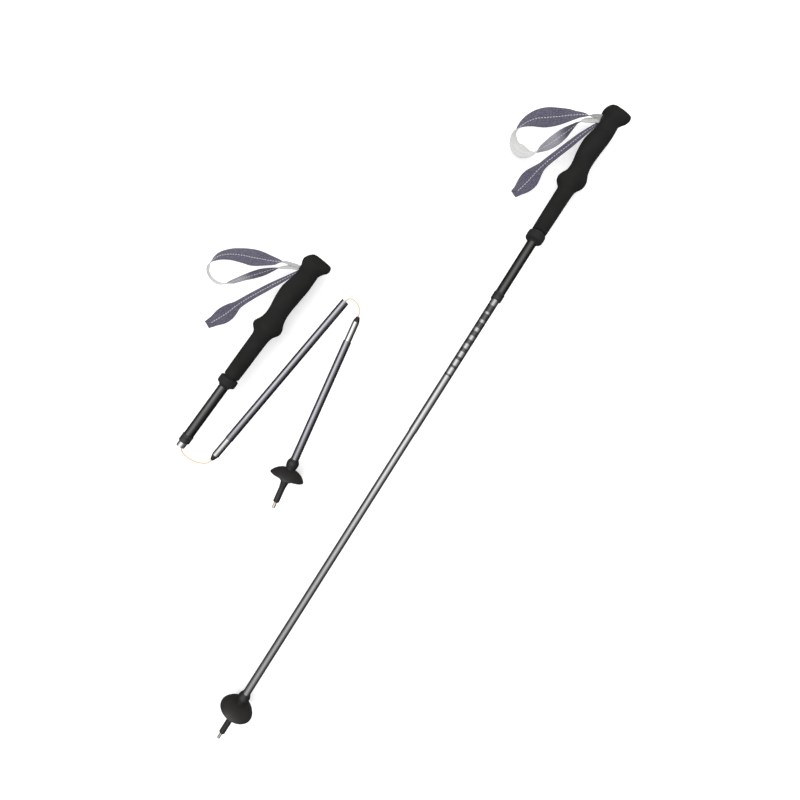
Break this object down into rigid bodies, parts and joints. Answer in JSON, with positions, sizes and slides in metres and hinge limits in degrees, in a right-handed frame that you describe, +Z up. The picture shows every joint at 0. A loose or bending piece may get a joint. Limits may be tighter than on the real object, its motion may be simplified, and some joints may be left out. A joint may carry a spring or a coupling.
{
  "type": "trekking poles",
  "caption": "Pair of folding trekking poles with foam grips and wrist straps: one locked at full length, one collapsed in a Z with its cord showing at the folds.",
  "frame": {"origin": "centre of the bounding box at floor level, with both poles lying on the floor", "axes": "+Z up from the floor, +Y from the tips toward the grips, +X to the side of the open pole's head"},
  "size_m": [0.7301, 1.0228, 0.056],
  "materials": {
    "foam": "fine-grained matt foam",
    "webbing": "woven tape with a pale stitch line, white back",
    "black_plastic": "moulded, slightly grained",
    "basket_plastic": "moulded, satin",
    "dark_tube": "satin dark grey",
    "grey_tube": "satin grey with a lengthwise brushed sheen",
    "ferrule_metal": "bright turned",
    "carbide": "ground hard metal",
    "steel": "plain",
    "cord": "braided"
  },
  "bodies": {
    "open_handle": {"open_grip": "foam", "open_strap_wedge": "black_plastic", "open_strap_pin": "steel", "open_collar": "black_plastic", "open_upper_tube": "dark_tube", "open_lock_collet": "black_plastic"},
    "open_strap": {"open_strap_loop": "webbing", "open_strap_tail": "webbing"},
    "open_lock": {"open_lock_nut": "black_plastic"},
    "open_tele": {"open_tele_tube": "grey_tube", "open_guide_bush": "black_plastic", "open_cord_anchor": "black_plastic", "open_cord": "cord"},
    "open_middle": {"open_middle_tube": "grey_tube", "open_middle_ferrule": "ferrule_metal", "open_middle_cone": "black_plastic"},
    "open_lower": {"open_lower_tube": "grey_tube", "open_lower_ferrule": "ferrule_metal", "open_lower_cone": "black_plastic", "open_tip_hub": "black_plastic", "open_tip_shaft": "black_plastic", "open_carbide_tip": "carbide", "open_cord_end_stop": "steel"},
    "open_basket": {"open_basket": "basket_plastic"},
    "folded_handle": {"folded_grip": "foam", "folded_strap_wedge": "black_plastic", "folded_strap_pin": "steel", "folded_collar": "black_plastic", "folded_upper_tube": "dark_tube", "folded_lock_collet": "black_plastic"},
    "folded_strap": {"folded_strap_loop": "webbing", "folded_strap_tail": "webbing"},
    "folded_lock": {"folded_lock_nut": "black_plastic"},
    "folded_tele": {"folded_tele_tube": "grey_tube", "folded_guide_bush": "black_plastic", "folded_cord_anchor": "black_plastic", "folded_cord_upper": "cord"},
    "folded_middle": {"folded_middle_tube": "grey_tube", "folded_middle_ferrule": "ferrule_metal", "folded_middle_cone": "black_plastic"},
    "folded_lower": {"folded_lower_tube": "grey_tube", "folded_lower_ferrule": "ferrule_metal", "folded_lower_cone": "black_plastic", "folded_tip_hub": "black_plastic", "folded_tip_shaft": "black_plastic", "folded_carbide_tip": "carbide"},
    "folded_basket": {"folded_basket": "basket_plastic"},
    "folded_link_upper": {"folded_cord_arc_upper": "cord"},
    "folded_core_upper": {"folded_cord_middle": "cord"},
    "folded_link_lower": {"folded_cord_arc_lower": "cord"},
    "folded_core_lower": {"folded_cord_lower": "cord", "folded_cord_end_stop": "steel"}
  },
  "joints": [
    {"name": "open_strap_swing", "type": "hinge", "parent": "open_handle", "child": "open_strap", "pos_m": [0.31509, 0.48571, 0.028], "axis": [0, 0, -1], "range_deg": [0, 30]},
    {"name": "open_lock_turn", "type": "hinge", "parent": "open_handle", "child": "open_lock", "pos_m": [0.15426, 0.20405, 0.028], "axis": [-0.5352, -0.8447, 0], "range_deg": [0, 120]},
    {"name": "open_tele_slide", "type": "slide", "parent": "open_handle", "child": "open_tele", "axis": [0.5352, 0.8447, 0], "range_m": [0, 0.24]},
    {"name": "open_basket_turn", "type": "hinge", "parent": "open_lower", "child": "open_basket", "pos_m": [-0.26205, -0.45296, 0.028], "axis": [-0.5352, -0.8447, 0], "range_deg": [0, 360]},
    {"name": "folded_strap_swing", "type": "hinge", "parent": "folded_handle", "child": "folded_strap", "pos_m": [-0.16728, 0.24715, 0.028], "axis": [0, 0, -1], "range_deg": [0, 30]},
    {"name": "folded_lock_turn", "type": "hinge", "parent": "folded_handle", "child": "folded_lock", "pos_m": [-0.34614, -0.02342, 0.028], "axis": [-0.5892, -0.808, 0], "range_deg": [0, 120]},
    {"name": "folded_tele_slide", "type": "slide", "parent": "folded_handle", "child": "folded_tele", "axis": [-0.5892, -0.808, 0], "range_m": [0, 0.24]},
    {"name": "folded_basket_turn", "type": "hinge", "parent": "folded_lower", "child": "folded_basket", "pos_m": [-0.18249, -0.07847, 0.028], "axis": [-0.4075, -0.9132, 0], "range_deg": [0, 360]},
    {"name": "open_middle_pull", "type": "slide", "parent": "open_tele", "child": "open_middle", "axis": [-0.5352, -0.8447, 0], "range_m": [0, 0.06]},
    {"name": "open_lower_pull", "type": "slide", "parent": "open_middle", "child": "open_lower", "axis": [-0.5352, -0.8447, 0], "range_m": [0, 0.06]},
    {"name": "folded_lift", "type": "slide", "parent": "open_handle", "child": "folded_handle", "axis": [0, 0, 1], "range_m": [0, 0.15]},
    {"name": "folded_upper_swing", "type": "hinge", "parent": "folded_tele", "child": "folded_link_upper", "pos_m": [-0.3594, -0.0416, 0.028], "axis": [0, 0, -1], "range_deg": [0, 101.74]},
    {"name": "folded_upper_fold", "type": "hinge", "parent": "folded_link_upper", "child": "folded_core_upper", "pos_m": [-0.3097, -0.06411, 0.028], "axis": [0.9755, 0.2202, 0], "range_deg": [0, 180]},
    {"name": "folded_upper_plug", "type": "slide", "parent": "folded_core_upper", "child": "folded_middle", "axis": [-0.6455, -0.7638, 0], "range_m": [0, 0.09841], "deforming": ["folded_cord_arc_upper"]},
    {"name": "folded_lower_swing", "type": "hinge", "parent": "folded_middle", "child": "folded_link_lower", "pos_m": [-0.09412, 0.191, 0.028], "axis": [0, 0, 1], "range_deg": [0, 98.07]},
    {"name": "folded_lower_fold", "type": "hinge", "parent": "folded_link_lower", "child": "folded_core_lower", "pos_m": [-0.07287, 0.16718, 0.028], "axis": [-0.1537, 0.9881, 0], "range_deg": [0, 180]},
    {"name": "folded_lower_plug", "type": "slide", "parent": "folded_core_lower", "child": "folded_lower", "axis": [0.4075, 0.9132, 0], "range_m": [0, 0.07577], "deforming": ["folded_cord_arc_lower"]}
  ],
  "couplings": [
    {"joint": "folded_upper_swing", "follows": "folded_upper_fold", "ratio": 0.5652},
    {"joint": "folded_lower_swing", "follows": "folded_lower_fold", "ratio": 0.54481}
  ]
}
